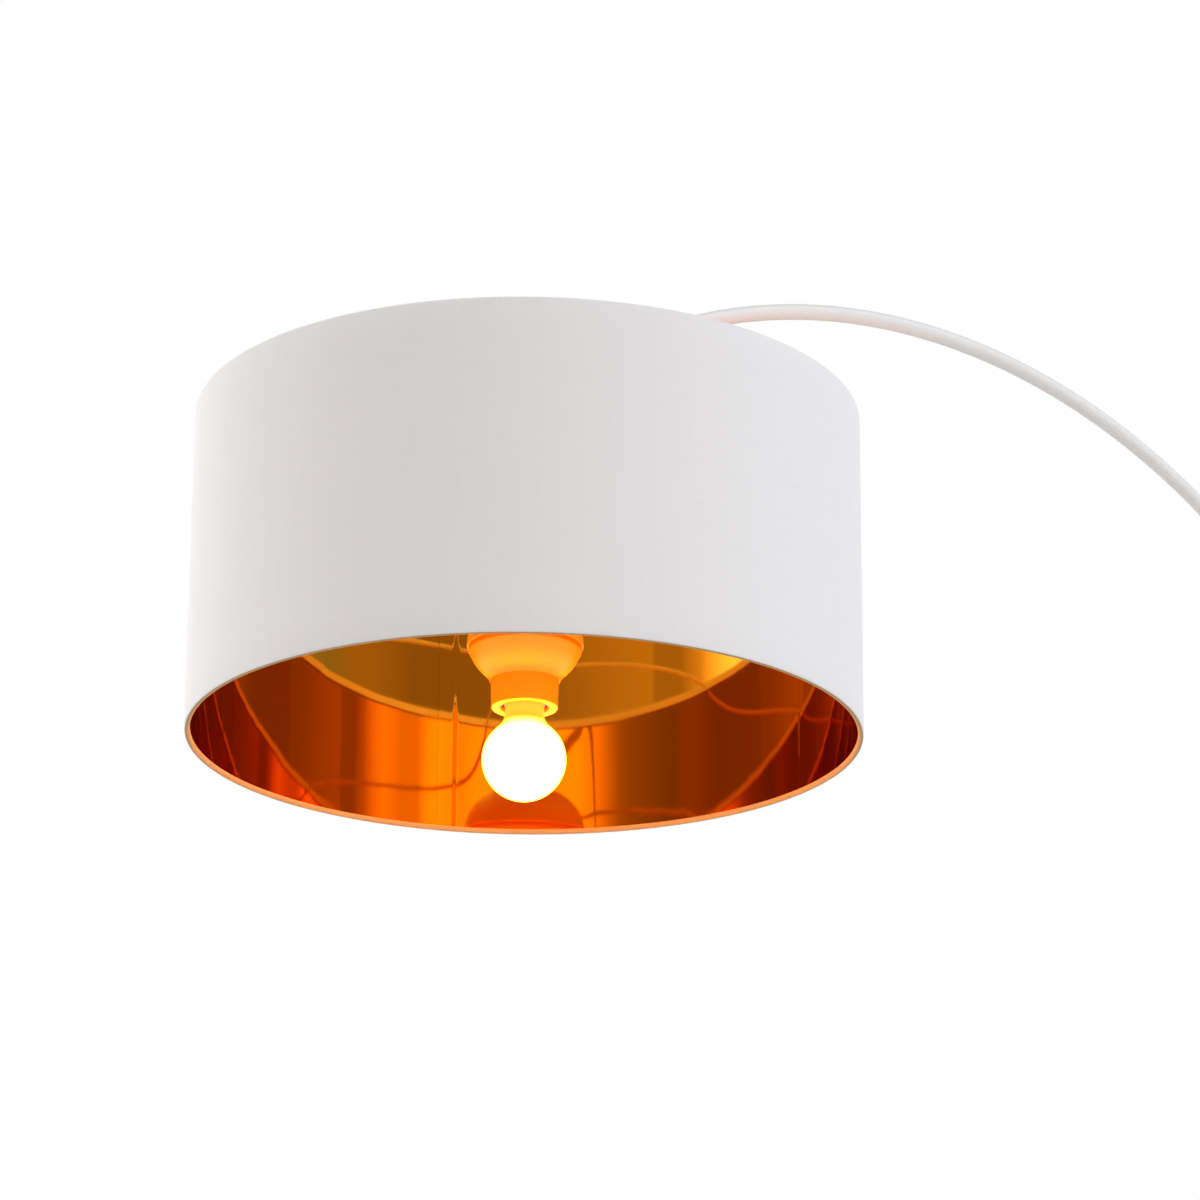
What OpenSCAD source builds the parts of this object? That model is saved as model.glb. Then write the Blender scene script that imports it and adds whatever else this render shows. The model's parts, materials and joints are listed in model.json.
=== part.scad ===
// Arc floor lamp: a weighted round base, a three-piece pole, a bent arm that
// swivels in the top of the pole, and a drum shade that tilts on a knuckle.
// Millimetres. The floor is z = 0, the pole stands on the origin, and the arm
// reaches towards -X. Heights inside the head are measured from the plane of
// the shade's lower edge.

/* [Overall] */
// Height from the floor to the top of the arc
lamp_h = 1800; // [1750:10:1850]
// Distance from the pole's axis to the shade's axis
reach = 760; // [730:10:790]

/* [Base] */
// Diameter of the base cover
base_d = 300; // [290:5:320]
// Height of the base cover
base_h = 26; // [26:0.5:28]
// Radius of the base cover's rounded shoulder
shoulder_r = 9; // [6:1:10]

/* [Pole and arm] */
// Outside diameter of the pole tubes
pole_d = 16; // [16:0.5:17]
// Outside diameter of the arm tubes
arm_d = 10; // [10:0.1:10.2]
// Bend radius of the arm, on the centreline of the tube
arc_r = 450; // [430:10:470]
// Angle of the bend at which the two arm tubes meet
arc_split = 45; // [30:5:60]

/* [Shade] */
// Outside diameter of the shade
shade_d = 400; // [380:10:420]
// Height of the shade
shade_h = 200; // [195:1:210]
// Direction of the first spider arm, turning from +X
spider_deg = 15.5; // [0:0.5:119]

/* [Bulb] */
// Diameter of the bulb's glass
bulb_d = 50; // [45:1:50]
// Height of the middle of the glass ball over the shade's lower edge
bulb_z = -11.7; // [-14:0.1:-8]

/* [Hidden] */
$fn = 96;

slip = 0.05;           // gap on the radius between pieces that fit in each other
over = 1;              // how far a cutter runs past the piece that it cuts
white = "#f2f2f1";

// Base
base_r = base_d / 2;
cover_t = 1.2;
cover_foot = 1.5;      // the skirt stops short of the floor
pad_t = 2.5;
pad_r = base_r - 4;
weight_r = base_r - 16;
weight_top = base_h - cover_t;
recess_r = 30;
nipple_r = 5;          // M10 x 1 lamp thread
nipple_bore_r = 4;
nut_flats = 14;
nut_h = 4;
washer_t = 1.5;
recess_top = weight_top - 4.8;
nut_z = recess_top - washer_t - nut_h;
nipple_z = nut_z - 0.3;
cable_r = 2.5;
cable_z = 8.6;           // height of the cable and of its inlet
cable_bend = 10.4;
gland_bore_r = 3.5;
gland_body_r = 4.9;
gland_flange_r = 6;
gland_in = base_r - 14;
gland_out = base_r + 3;

// Arm geometry: a quarter turn and a bit, then a straight knuckle neck
arc_z = lamp_h - arc_r - arm_d / 2;
knuckle_neck = 24;     // from the end of the arm tube to the pivot
arc_end = acos(-(reach - arc_r) / sqrt(pow(arc_r, 2) + pow(knuckle_neck, 2)))
    - atan(knuckle_neck / arc_r);
pivot = [-reach, 0,
    arc_z + arc_r * sin(arc_end) + knuckle_neck * cos(arc_end)];
arm_r = arm_d / 2;
arm_bore_r = arm_r - 1;

// Pole
pole_r = pole_d / 2;
pole_bore_r = pole_r - 1.2;
pole_top = arc_z - 55;
pole_len = (pole_top - base_h) / 3;
insert_h = 16;
stud_h = 30;

// Swivel at the top of the pole
collar_r = 12;
collar_h = 44;
collar_z = pole_top - collar_h / 2;
arm_foot_z = pole_top - 50;
stop_z = collar_z + collar_h + 0.2;
stop_h = 8;
knob_z = pole_top + 11;
thumb_r = 2.5;
thumb_knob_r = 8;

// Knuckle
cup_r = 9.5;
cup_w = 7.5;
face_gap = 0.1;
neck_clear = 0.4;
pin_r = 2;

// Shade, measured from its lower edge
shade_r = shade_d / 2;
shade_z = pivot.z - 13 - shade_h;
fabric_t = 0.6;
wire_r = 1.05;
roll_r = 1.7;          // the cloth rolled round the wire ring
lip_h = 2.5;
liner_t = 0.5;
spoke_r = 1.5;
hub_r = 14;
hub_z = 175;
hub_t = 2;
stem_top = shade_h - 2;
stem_foot = 85;

// Lampholder, measured from the shade's lower edge
mouth_z = 19.5;
cup_ball_r = 34.9;
cup_ball_z = 56.3;
cup_rim_z = 57.9;
boss_z = 90;
boss_top = 96;
flange_z = 56;
ring_top = 55.5;

// ---------------------------------------------------------------- helpers

// Half-section of a round plate from z0 to z1 with a rounded upper edge
module plate_profile(r, z0, z1, fillet) {
    translate([0, z0]) square([r - fillet, z1 - z0]);
    translate([0, z0]) square([r, z1 - z0 - fillet]);
    translate([r - fillet, z1 - fillet]) circle(fillet);
}

module tube(r, bore, h) {
    difference() {
        cylinder(r = r, h = h);
        translate([0, 0, -over]) cylinder(r = bore, h = h + 2 * over);
    }
}

module along_x() { rotate([0, 90, 0]) children(); }
module along_y() { rotate([-90, 0, 0]) children(); }

module hex_nut(flats, bore, h) {
    difference() {
        cylinder(d = flats / cos(30), h = h, $fn = 6);
        translate([0, 0, -over]) cylinder(r = bore, h = h + 2 * over);
    }
}

// A headless screw with a hexagon socket, its tip at z = 0
module grub_screw(r, h, socket) {
    difference() {
        cylinder(r = r, h = h);
        translate([0, 0, h / 2]) cylinder(d = socket, h = h, $fn = 6);
    }
}

// A stretch of the arm's bend, ring-shaped in section
module bend(from, to, r, bore) {
    translate([-arc_r, 0, arc_z]) rotate([90, 0, 0]) rotate([0, 0, from])
        rotate_extrude(angle = to - from) translate([arc_r, 0])
            difference() {
                circle(r);
                if (bore > 0) circle(bore);
            }
}

// Moves a shape onto the bend, its +Z pointing away from the bend's centre
module on_bend(angle) {
    translate([-arc_r + arc_r * cos(angle), 0, arc_z + arc_r * sin(angle)])
        rotate([0, 90 - angle, 0]) children();
}

module in_head() { translate([-reach, 0, shade_z]) children(); }

// ------------------------------------------------------------------- base

module base_pad() {
    color("#3a3a3a") cylinder(r = pad_r, h = pad_t);
}

module base_weight() {
    color("#55565a") difference() {
        translate([0, 0, pad_t]) cylinder(r = weight_r, h = weight_top - pad_t);
        translate([0, 0, -over]) cylinder(r = recess_r, h = recess_top + over);
        cylinder(r = nipple_r + 0.3, h = base_h);
        translate([0, -4.5, -over]) cube([base_r, 9, cable_z + 5.5 + over]);
    }
}

module base_cover() {
    color(white) difference() {
        rotate_extrude() difference() {
            plate_profile(base_r, cover_foot, base_h, shoulder_r);
            plate_profile(base_r - cover_t, -over, weight_top, shoulder_r - cover_t);
            translate([-over, 0]) square([nipple_r + 0.2 + over, 2 * base_h]);
        }
        translate([base_r - 10, 0, cable_z]) along_x() cylinder(r = gland_body_r + slip, h = 20);
    }
}

module base_collar() {
    color(white) translate([0, 0, base_h]) rotate_extrude() difference() {
        translate([pole_r + 0.1, 0]) square([11, 14]);
        translate([pole_r + 14, 16]) circle(11.5);
    }
}

module base_nipple() {
    color("#c9b27a") translate([0, 0, nipple_z])
        tube(nipple_r, nipple_bore_r, base_h + insert_h - 2 - nipple_z);
}

module base_washer() {
    color("#b8babd") translate([0, 0, recess_top - washer_t])
        tube(15, nipple_r + 0.2, washer_t);
}

module base_nut() {
    color("#b8babd") translate([0, 0, nut_z]) hex_nut(nut_flats, nipple_r + slip, nut_h);
}

module cable_gland() {
    color("#e9e9e8") translate([0, 0, cable_z]) along_x() rotate_extrude() {
        translate([gland_bore_r, gland_in]) square([gland_body_r - gland_bore_r, gland_out - gland_in]);
        translate([gland_bore_r, base_r + 0.4])
            square([gland_flange_r - gland_bore_r, gland_out - base_r - 0.4]);
    }
}

module gland_nut() {
    color("#e9e9e8") translate([base_r - cover_t - 4.5, 0, cable_z]) along_x()
        rotate([0, 0, 30]) hex_nut(11.5, gland_body_r + slip, 4);
}

// ------------------------------------------------------------------- pole

module pole_tube(index) {
    color(white) translate([0, 0, base_h + index * pole_len])
        tube(pole_r, pole_bore_r, pole_len - 0.02);
}

module pole_insert(z) {
    color("#b8babd") translate([0, 0, z])
        tube(pole_bore_r - slip, nipple_r + slip, insert_h);
}

module joint_stud(index) {
    color("#c9b27a") translate([0, 0, base_h + index * pole_len - stud_h / 2])
        tube(nipple_r, nipple_bore_r, stud_h);
}

// In through the inlet, under the weight, and up the middle of the pole
module pole_cable() {
    color("#f0f0ee") {
        translate([cable_bend, 0, cable_z]) along_x()
            cylinder(r = cable_r, h = gland_in - 2 - cable_bend);
        translate([cable_bend, 0, cable_z + cable_bend]) rotate([90, 0, 0]) rotate([0, 0, 180])
            rotate_extrude(angle = 90) translate([cable_bend, 0]) circle(cable_r);
        translate([0, 0, cable_z + cable_bend])
            cylinder(r = cable_r, h = arm_foot_z - 6 - cable_z - cable_bend);
    }
}

// ------------------------------------------------- swivel at the pole's top

module arm_collar() {
    color(white) difference() {
        translate([0, 0, collar_z]) rotate_extrude() difference() {
            plate_profile(collar_r, 0, collar_h, 2);
            translate([-over, -over]) square([pole_r + slip + over, collar_h / 2 + over]);
            translate([-over, 0]) square([arm_r + slip + over, collar_h + over]);
        }
        translate([0, 0, knob_z]) along_x() cylinder(r = thumb_r + slip, h = 2 * collar_r);
        translate([0, 0, collar_z + 8]) along_x() cylinder(r = 2 + slip, h = 2 * collar_r);
    }
}

module collar_grub_screw() {
    color("#8c8e92") translate([pole_r + 0.02, 0, collar_z + 8]) along_x() grub_screw(2, 3.6, 2);
}

// Fixed in the pole: guides the foot of the arm tube
module arm_guide_bush() {
    color("#f4f4ee") translate([0, 0, arm_foot_z - 3]) difference() {
        cylinder(r = pole_bore_r - slip, h = 16);
        translate([0, 0, -over]) cylinder(r = arm_bore_r, h = 20);
        translate([0, 0, 3 - 0.2]) cylinder(r = arm_r + slip, h = 20);
    }
}

module swivel_thumbscrew() {
    color("#d9dadc") translate([0, 0, knob_z]) along_x() {
        translate([0, 0, arm_r + 0.2]) cylinder(r = thumb_r, h = collar_r + 1.5 - arm_r);
        translate([0, 0, collar_r + 0.7]) cylinder(r = 4.5, h = 1.5);
        translate([0, 0, collar_r + 2]) rotate_extrude() plate_profile(thumb_knob_r, 0, 9, 1.2);
    }
}

// -------------------------------------------------------------------- arm

module lower_arm() {
    color(white) difference() {
        union() {
            bend(0, arc_split - 0.003, arm_r, arm_bore_r);
            translate([0, 0, arm_foot_z]) tube(arm_r, arm_bore_r, arc_z - arm_foot_z);
        }
        on_bend(arc_split - 1.3) translate([0, 0, -10]) cylinder(r = 1.55, h = 10);
    }
}

module upper_arm() {
    color(white) difference() {
        bend(arc_split, arc_end, arm_r, arm_bore_r);
        on_bend(arc_split + 1.3) translate([0, 0, -10]) cylinder(r = 1.55, h = 10);
    }
}

// A short curved tube inside both arm tubes, with a screw into each
module arm_joiner() {
    color("#b8babd") difference() {
        bend(arc_split - 2.5, arc_split + 2.5, arm_bore_r - slip, 2.8);
        for (side = [-1.3, 1.3])
            on_bend(arc_split + side) translate([0, 0, -10]) cylinder(r = 1.55, h = 10);
    }
}

module joiner_screws() {
    color("#8c8e92") for (side = [-1.3, 1.3])
        on_bend(arc_split + side) rotate([180, 0, 0]) translate([0, 0, 2.9]) grub_screw(1.5, 2, 1.5);
}

module stop_ring() {
    color(white) difference() {
        translate([0, 0, stop_z]) rotate_extrude() difference() {
            plate_profile(8.5, 0, stop_h, 1.2);
            translate([-over, -over]) square([arm_r + 0.03 + over, stop_h + 2 * over]);
        }
        translate([0, 0, stop_z + stop_h / 2]) along_x() cylinder(r = 1.55, h = 20);
    }
}

module stop_ring_screw() {
    color("#8c8e92") translate([arm_r + 0.02, 0, stop_z + stop_h / 2]) along_x() grub_screw(1.5, 3, 1.5);
}

module arm_cable() {
    color("#f0f0ee") {
        translate([0, 0, arm_foot_z - 2]) cylinder(r = cable_r, h = arc_z - arm_foot_z + 2);
        bend(0, arc_end - 2, cable_r, 0);
    }
}

// ---------------------------------------------------------------- knuckle

// One half of the joint: a hollow cup on the -Y side of the pivot, and a round
// neck along +Z that leaves room for the other half's cup
module knuckle_half(neck_r, neck_len) {
    difference() {
        union() {
            translate([0, -face_gap, 0]) rotate([90, 0, 0]) cylinder(r = cup_r, h = cup_w);
            difference() {
                translate([0, 0, 3]) cylinder(r = neck_r, h = neck_len - 3);
                translate([0, -face_gap, 0]) along_y() cylinder(r = cup_r + neck_clear, h = 20);
            }
        }
        translate([0, over, 0]) rotate([90, 0, 0]) difference() {
            cylinder(r = cup_r - 1.5, h = cup_w + over - 1.5);
            cylinder(r = pin_r + 1.2, h = cup_w + over);
        }
        translate([0, 0, cup_r - 3]) cylinder(r = 2.7, h = neck_len);
        along_y() translate([0, 0, -2 * cup_w]) cylinder(r = pin_r + slip, h = 4 * cup_w);
    }
}

module knuckle_upper() {
    color("#e4e4e3") translate(pivot) rotate([0, 180 - arc_end, 0]) {
        knuckle_half(arm_r, knuckle_neck);
        translate([0, 0, knuckle_neck]) tube(arm_bore_r - 0.25, 2.7, 10);
    }
}

module knuckle_lower() {
    color("#e4e4e3") translate(pivot) rotate([180, 0, 0]) difference() {
        knuckle_half(7, 23);
        translate([0, 0, 12.5]) cylinder(r = nipple_r + slip, h = 20);
    }
}

module knuckle_screw() {
    color("#c4c6c9") translate(pivot) difference() {
        union() {
            along_y() translate([0, 0, -cup_w - 0.5]) cylinder(r = pin_r, h = 2 * cup_w + 7);
            along_y() translate([0, 0, -cup_w - 2.3]) cylinder(r = 3.6, h = 2);
        }
        translate([-5, -cup_w - 3.3, -0.5]) cube([10, 2, 1]);
    }
}

module tilt_knob() {
    color("#d9dadc") translate(pivot) along_y() translate([0, 0, cup_w + 0.4]) difference() {
        union() {
            cylinder(r = 4, h = 1.2);
            translate([0, 0, 1]) rotate_extrude() plate_profile(6.5, 0, 7, 1);
        }
        translate([0, 0, -over]) cylinder(r = pin_r + slip, h = 7 + over);
    }
}

// ----------------------------------------------------- stem and spider arms

module stem_rod() {
    color("#c9b27a") in_head() translate([0, 0, stem_foot])
        tube(nipple_r, nipple_bore_r, stem_top - stem_foot);
}

module stem_sleeve() {
    color(white) in_head() translate([0, 0, boss_top + 0.1])
        tube(6.5, nipple_r + 0.1, hub_z - boss_top - 0.2);
}

module hub_washer() {
    color("#b8babd") in_head() translate([0, 0, hub_z + hub_t + 0.05])
        tube(9, nipple_r + 0.1, 1.2);
}

module hub_nut() {
    color("#b8babd") in_head() translate([0, 0, hub_z + hub_t + 1.3])
        hex_nut(nut_flats, nipple_r + slip, nut_h);
}

module spider_hub() {
    color(white) in_head() translate([0, 0, hub_z]) tube(hub_r, nipple_r + 0.2, hub_t);
}

module spider_arms() {
    rim = shade_r - roll_r - wire_r - 0.15;
    rise = shade_h - roll_r - 1.4 - hub_z - hub_t / 2;
    run = rim - hub_r - 0.3;
    color(white) in_head() for (i = [0:2]) rotate([0, 0, spider_deg + 120 * i])
        translate([hub_r + 0.3, 0, hub_z + hub_t / 2]) rotate([0, 90 - atan(rise / run), 0])
            cylinder(r = spoke_r, h = norm([rise, run]));
}

// ------------------------------------------------------------------ shade

// Wire ring inside a rolled edge of the shade
module shade_ring(z) {
    color(white) in_head() translate([0, 0, z]) rotate_extrude()
        translate([shade_r - roll_r, 0]) circle(wire_r);
}

// The cloth's edge, rolled round the ring and tucked in behind it
module rolled_edge_profile() {
    translate([shade_r - roll_r, roll_r]) intersection() {
        difference() {
            circle(roll_r);
            circle(roll_r - fabric_t);
        }
        translate([-2 * roll_r, -2 * roll_r]) square([4 * roll_r, 2 * roll_r]);
    }
    translate([shade_r - 2 * roll_r, roll_r]) square([fabric_t, lip_h]);
}

module shade_fabric() {
    color("#f4f3f1") in_head() difference() {
        rotate_extrude() {
            translate([shade_r - fabric_t, roll_r]) square([fabric_t, shade_h - 2 * roll_r]);
            rolled_edge_profile();
            translate([0, shade_h]) mirror([0, 1]) rolled_edge_profile();
        }
        for (i = [0:2]) rotate([0, 0, spider_deg + 120 * i])
            translate([shade_r - 6, -2.5, shade_h - 6]) cube([4.4, 5, 6 - roll_r / 2]);
    }
}

module shade_liner() {
    color("#d98a3d") in_head() translate([0, 0, 2 * roll_r])
        tube(shade_r - fabric_t - slip, shade_r - fabric_t - slip - liner_t, shade_h - 4 * roll_r);
}

// ------------------------------------------------------------- lampholder

module holder_cup() {
    color("#f6f5f2") in_head() rotate_extrude() difference() {
        union() {
            intersection() {
                translate([0, cup_ball_z]) circle(cup_ball_r);
                translate([0, cup_rim_z]) square([60, 60]);
            }
            translate([0, boss_z - 2]) square([9, boss_top - boss_z + 2]);
        }
        translate([0, cup_ball_z]) intersection() {
            circle(cup_ball_r - 1.6);
            translate([-60, -60]) square([120, 60 + boss_z - cup_ball_z]);
        }
        translate([-over, 0]) square([nipple_r + slip + over, 120]);
    }
}

module holder_lock_nut() {
    color("#b8babd") in_head() translate([0, 0, boss_z - nut_h - 1.6])
        hex_nut(nut_flats, nipple_r + slip, nut_h);
}

module holder_body() {
    color("#f6f5f2") in_head() rotate_extrude() polygon([
        [14.2, mouth_z], [18.2, mouth_z], [19.1, mouth_z + 1], [20.2, 38], [20.2, flange_z],
        [31, flange_z], [31, flange_z + 1.8], [22, flange_z + 1.8], [22, 80], [20.2, 80],
        [20.2, 60], [18.2, flange_z], [17.4, 24], [14.2, 21.5]
    ]);
}

// Flared ring that screws up the outside of the lampholder
module holder_ring() {
    color("#f6f5f2") in_head() rotate_extrude() difference() {
        union() {
            intersection() {
                translate([22.5, ring_top]) circle(12);
                translate([20, 30]) square([20, ring_top - 30]);
            }
            translate([20.3, 36]) square([4.7, ring_top - 36]);
        }
        translate([25.8, 37]) circle(4.6);
        translate([21.2, 30]) square([10, 7]);
        translate([23, 49]) square([9, 10]);
        translate([0, 30]) square([20.3, 40]);
    }
}

module holder_insert() {
    color("#eceae4") in_head() difference() {
        union() {
            translate([0, 0, 51]) cylinder(r = 17.2, h = 23);
            translate([0, 0, 74]) cylinder(r = 12, h = 4);
        }
        for (side = [-1, 1]) translate([-4, side * 11 - 3.5, 68]) cube([8, 7, 20]);
        for (side = [-1, 1]) translate([0, side * 11, 60]) cylinder(r = 1.8, h = 20);
    }
}

module terminal_screws() {
    color("#c4c6c9") in_head() for (side = [-1, 1]) translate([0, side * 11, 62]) {
        cylinder(r = 1.75, h = 8);
        translate([0, 0, 8]) cylinder(r = 3, h = 2);
    }
}

module screw_shell() {
    color("#d6c48c") in_head() translate([0, 0, 22.5]) tube(13.95, 13.45, 28.3);
}

module centre_contact() {
    color("#d6c48c") in_head() translate([0, 0, 49.8]) cylinder(r = 4, h = 1.1);
}

// Down the stem, then one conductor to each terminal
module head_cable() {
    color("#f0f0ee") in_head() {
        translate([0, 0, 83.5]) cylinder(r = cable_r, h = stem_top + 1 - 83.5);
        for (side = [-1, 1]) {
            translate([0, side * 1.2, 84]) rotate([side * (57 - 180), 0, 0])
                cylinder(r = 0.9, h = 9.3);
            translate([0, side * 9, 72.2]) cylinder(r = 0.9, h = 7);
        }
    }
}

// ------------------------------------------------------------------- bulb

// Half-section of the ball and neck, set in by t all round
module bulb_profile(t) {
    ball = bulb_d / 2 - t;
    neck = 11.5 - t;
    fillet = 14 + t;
    reach_up = sqrt(pow(ball + fillet, 2) - pow(neck + fillet, 2));
    share = ball / (ball + fillet);
    translate([0, bulb_z]) intersection() {
        difference() {
            union() {
                circle(ball);
                polygon([[0, 0], [(neck + fillet) * share, reach_up * share],
                    [neck + fillet, reach_up], [neck, reach_up],
                    [neck, 25 - bulb_z], [0, 25 - bulb_z]]);
            }
            translate([neck + fillet, reach_up]) circle(fillet);
        }
        translate([0, -60]) square([60, 120]);
    }
}

module bulb_glass() {
    color("#fffaf0") in_head() rotate_extrude() difference() {
        bulb_profile(0);
        bulb_profile(0.8);
        translate([-over, 24]) square([30, 5]);
    }
}

// Screw cap with rounded ridges
module bulb_cap() {
    ridge_pitch = 3.63;
    color("#cfd1d3") in_head() rotate_extrude() difference() {
        union() {
            translate([0, 22]) square([12.4, 22]);
            polygon([[0, 44], [12.4, 44], [9, 46], [0, 46]]);
            for (i = [0:4]) translate([12.1, 26.5 + ridge_pitch * i]) circle(1.1);
        }
        translate([-over, 20]) square([11.6 + over, 23]);
        translate([-over, 40]) square([6 + over, 10]);
    }
}

module bulb_insulator() {
    color("#1f1f22") in_head() rotate_extrude() difference() {
        union() {
            translate([0, 43.2]) square([5.9, 3]);
            polygon([[0, 46.1], [8.6, 46.1], [4.6, 48.2], [0, 48.2]]);
        }
        translate([-over, 40]) square([1.5 + over, 12]);
    }
}

module bulb_contact() {
    color("#c4c6c9") in_head() {
        translate([0, 0, 44]) cylinder(r = 1.4, h = 4.3);
        translate([0, 0, 48.25]) cylinder(r = 4.2, h = 1.2);
    }
}

module bulb_stem() {
    color("#eef2f4") in_head() {
        translate([0, 0, 3]) cylinder(r = 2.6, h = 22);
        translate([0, 0, 18]) cylinder(r1 = 2.6, r2 = 9, h = 6);
    }
}

// Coil on two legs, drawn as a bar with a gentle arc
module bulb_filament() {
    color("#6a6a6a") in_head() {
        for (side = [-1, 1]) translate([side * 1.3, 0, 2.8]) rotate([180, side * 30, 0])
            cylinder(r = 0.35, h = 14);
        translate([0, 0, bulb_z - 12]) rotate([90, 0, 0]) rotate([0, 0, 60])
            rotate_extrude(angle = 60) translate([16.8, 0]) circle(0.6);
    }
}

// ------------------------------------------------------------------ nodes

base_pad();
base_weight();
base_cover();
base_collar();
base_nipple();
base_washer();
base_nut();
cable_gland();
gland_nut();
pole_tube(0);  // lower_pole
pole_tube(1);  // middle_pole
pole_tube(2);  // upper_pole
pole_insert(base_h);  // lower_pole_foot_insert
pole_insert(base_h + pole_len - insert_h - 0.02);  // lower_pole_top_insert
pole_insert(base_h + pole_len);  // middle_pole_foot_insert
pole_insert(base_h + 2 * pole_len - insert_h - 0.02);  // middle_pole_top_insert
pole_insert(base_h + 2 * pole_len);  // upper_pole_foot_insert
joint_stud(1);  // lower_joint_stud
joint_stud(2);  // upper_joint_stud
pole_cable();
arm_collar();
collar_grub_screw();
arm_guide_bush();
swivel_thumbscrew();
lower_arm();
upper_arm();
arm_joiner();
joiner_screws();
stop_ring();
stop_ring_screw();
arm_cable();
knuckle_upper();
knuckle_screw();
tilt_knob();
knuckle_lower();
stem_rod();
stem_sleeve();
hub_nut();
hub_washer();
spider_hub();
spider_arms();
shade_ring(shade_h - roll_r);  // shade_top_ring
shade_ring(roll_r);  // shade_bottom_ring
shade_fabric();
shade_liner();
head_cable();
holder_cup();
holder_lock_nut();
holder_body();
holder_ring();
holder_insert();
terminal_screws();
screw_shell();
centre_contact();
bulb_glass();
bulb_cap();
bulb_insulator();
bulb_contact();
bulb_stem();
bulb_filament();
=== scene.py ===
import json
import math
import bmesh
import bpy
from mathutils import Matrix, Vector


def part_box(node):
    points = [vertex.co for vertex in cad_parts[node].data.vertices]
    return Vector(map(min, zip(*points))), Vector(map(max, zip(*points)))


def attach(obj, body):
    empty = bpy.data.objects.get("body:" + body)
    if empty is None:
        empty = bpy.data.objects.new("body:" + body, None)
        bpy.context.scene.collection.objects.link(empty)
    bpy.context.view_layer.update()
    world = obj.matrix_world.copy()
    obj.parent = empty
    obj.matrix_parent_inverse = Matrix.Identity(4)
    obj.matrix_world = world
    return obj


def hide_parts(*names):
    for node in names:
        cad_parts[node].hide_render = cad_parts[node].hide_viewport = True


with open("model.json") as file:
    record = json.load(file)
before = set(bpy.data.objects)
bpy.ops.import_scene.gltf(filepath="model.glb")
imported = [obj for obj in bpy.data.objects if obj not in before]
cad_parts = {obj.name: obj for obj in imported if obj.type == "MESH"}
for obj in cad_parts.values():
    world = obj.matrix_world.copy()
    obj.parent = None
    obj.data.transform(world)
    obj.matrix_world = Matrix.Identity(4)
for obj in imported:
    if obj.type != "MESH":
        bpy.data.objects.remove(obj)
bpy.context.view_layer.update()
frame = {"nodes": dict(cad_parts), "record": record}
print("frame loaded:", len(frame["nodes"]), "nodes")

mm = 0.001
scene = bpy.context.scene
scene.view_settings.view_transform = "Standard"  # keeps white paper white and the copper's orange pure
scene.cycles.glossy_bounces = 12  # light runs round the inside of the mirrored drum
scene.cycles.use_light_tree = False  # it keeps picking the bulb, which the shade hides from the arm

shadeLow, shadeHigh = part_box("shade_fabric")
shadeAxis = Vector(((shadeLow.x + shadeHigh.x) / 2, (shadeLow.y + shadeHigh.y) / 2, 0))
shadeMouth = Vector((shadeAxis.x, shadeAxis.y, shadeLow.z))
shadeRadius = (shadeHigh.x - shadeLow.x) / 2


# ---- small tools

def toLinear(hexColour):
    # "#rrggbb" as it looks on a screen, to the linear values that shaders take
    channels = [int(hexColour[i:i + 2], 16) / 255 for i in (1, 3, 5)]
    return [c / 12.92 if c <= 0.04045 else ((c + 0.055) / 1.055) ** 2.4 for c in channels] + [1.0]


def addNode(tree, kind, settings=None, inputs=None):
    node = tree.nodes.new(kind)
    for key, value in (settings or {}).items():
        setattr(node, key, value)
    for key, value in (inputs or {}).items():
        if isinstance(value, bpy.types.NodeSocket):
            tree.links.new(value, node.inputs[key])
        else:
            node.inputs[key].default_value = value
    return node


def newObject(name, mesh):
    made = bpy.data.objects.new(name, mesh)
    scene.collection.objects.link(made)
    return made


def asPlainMesh(made, name):
    # what the modifiers make of the object, as a mesh of its own
    bpy.context.view_layer.update()
    evaluated = made.evaluated_get(bpy.context.evaluated_depsgraph_get())
    plain = newObject(name, bpy.data.meshes.new_from_object(evaluated))
    bpy.data.objects.remove(made)
    return plain


def shadeByAngle(mesh, degrees=35):
    work = bmesh.new()
    work.from_mesh(mesh)
    for face in work.faces:
        face.smooth = True
    for edge in work.edges:
        edge.smooth = edge.calc_face_angle(0) < math.radians(degrees)
    work.to_mesh(mesh)
    work.free()


def setMaterial(made, material):
    made.data.materials.clear()
    made.data.materials.append(material)
    return made


def standIn(made, body, slot, *nodes):
    # the piece moves with the body and is shown in place of the CAD nodes
    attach(made, body)
    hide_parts(*nodes)


# ---- camera, world, lights and floor

studioCamera = {
    "lens": 139.44,  # mm, on a 36 mm sensor
    "turn": 35.35,   # degrees from +Y towards +X
    "tilt": 19.04,   # degrees up
    "roll": 0.33,    # degrees
    "right": 0.0442,  # m, all three from the middle of the shade's lower edge
    "back": 2.6166,
    "down": 0.815,
}


def viewAxes():
    turn = math.radians(studioCamera["turn"])
    ahead = Vector((math.sin(turn), math.cos(turn), 0))
    right = Vector((math.cos(turn), -math.sin(turn), 0))
    return ahead, right


def makeCamera():
    ahead, right = viewAxes()
    tilt, roll = math.radians(studioCamera["tilt"]), math.radians(studioCamera["roll"])
    look = ahead * math.cos(tilt) + Vector((0, 0, math.sin(tilt)))
    up = right.cross(look)
    side = right * math.cos(roll) + up * math.sin(roll)
    top = up * math.cos(roll) - right * math.sin(roll)
    data = bpy.data.cameras.new("studioCamera")
    data.lens = studioCamera["lens"]
    data.sensor_width = 36
    data.clip_end = 50
    camera = bpy.data.objects.new("studioCamera", data)
    scene.collection.objects.link(camera)
    place = Matrix((side, top, -look)).transposed().to_4x4()
    place.translation = (shadeMouth + right * studioCamera["right"] - ahead * studioCamera["back"]
                         - Vector((0, 0, studioCamera["down"])))
    camera.matrix_world = place
    scene.camera = camera


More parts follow.
